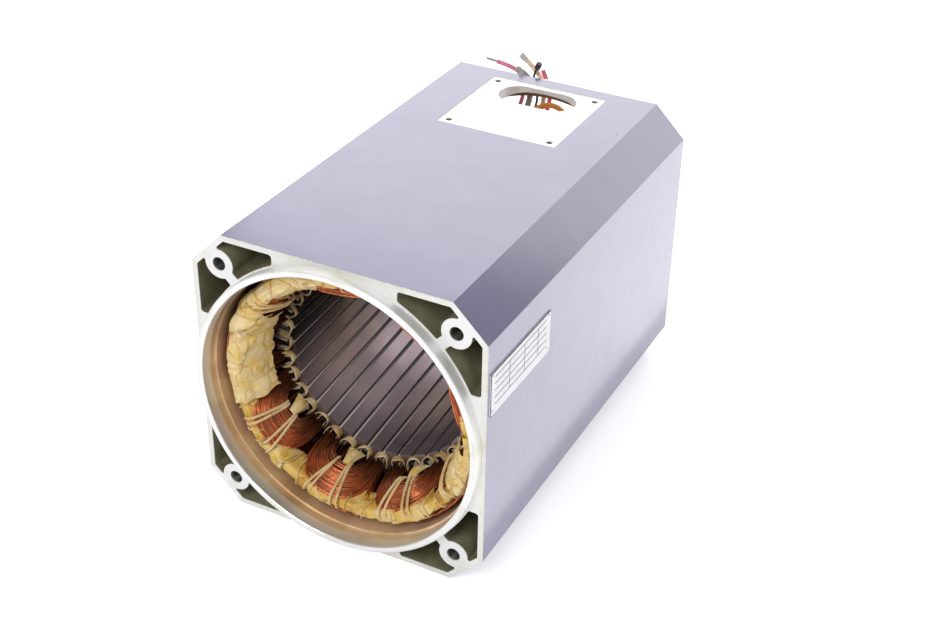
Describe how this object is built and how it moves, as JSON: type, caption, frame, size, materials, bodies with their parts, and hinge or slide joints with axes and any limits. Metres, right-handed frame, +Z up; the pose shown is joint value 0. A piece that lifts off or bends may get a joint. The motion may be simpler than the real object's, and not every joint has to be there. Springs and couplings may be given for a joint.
{
  "type": "electric motor stator",
  "caption": "Square extruded motor housing with bevelled corners, holding a slotted steel core and a laced copper winding, open at both ends.",
  "frame": {"origin": "on the floor under the middle of the housing", "axes": "+X right seen from the drive end, +Y towards the rear along the motor axis, +Z up"},
  "size_m": [0.1906, 0.3153, 0.1997],
  "materials": {
    "housing_paint": "satin paint, blue grey",
    "plate_metal": "satin",
    "lamination_steel": "ground bore, varnished",
    "insulation_paper": "matte",
    "enamelled_copper": "glossy enamel",
    "taped_roll": "varnished tape",
    "lacing_cord": "varnished cord",
    "lead_pink": "matte",
    "lead_grey": "matte",
    "lead_cream": "matte",
    "lead_black": "matte",
    "lead_red": "matte",
    "lead_orange": "matte",
    "lead_pink_tip": "matte",
    "lead_cream_tip": "matte",
    "lead_black_tip": "matte"
  },
  "bodies": {
    "root": {"housing": "housing_paint", "nameplate": "plate_metal", "stator_core": "lamination_steel", "slot_wedges": "insulation_paper", "slot_liners": "insulation_paper", "winding_phase_u": "enamelled_copper", "winding_phase_v": "enamelled_copper", "winding_phase_w": "enamelled_copper", "front_head_roll": "taped_roll", "rear_head_roll": "taped_roll", "front_head_lacing": "lacing_cord", "rear_head_lacing": "lacing_cord", "front_phase_papers": "insulation_paper", "rear_phase_papers": "insulation_paper", "lead_pink": "lead_pink", "lead_grey": "lead_grey", "lead_cream": "lead_cream", "lead_black": "lead_black", "lead_red": "lead_red", "lead_orange": "lead_orange", "lead_pink_tip": "lead_pink_tip", "lead_cream_tip": "lead_cream_tip", "lead_black_tip": "lead_black_tip"}
  },
  "joints": []
}
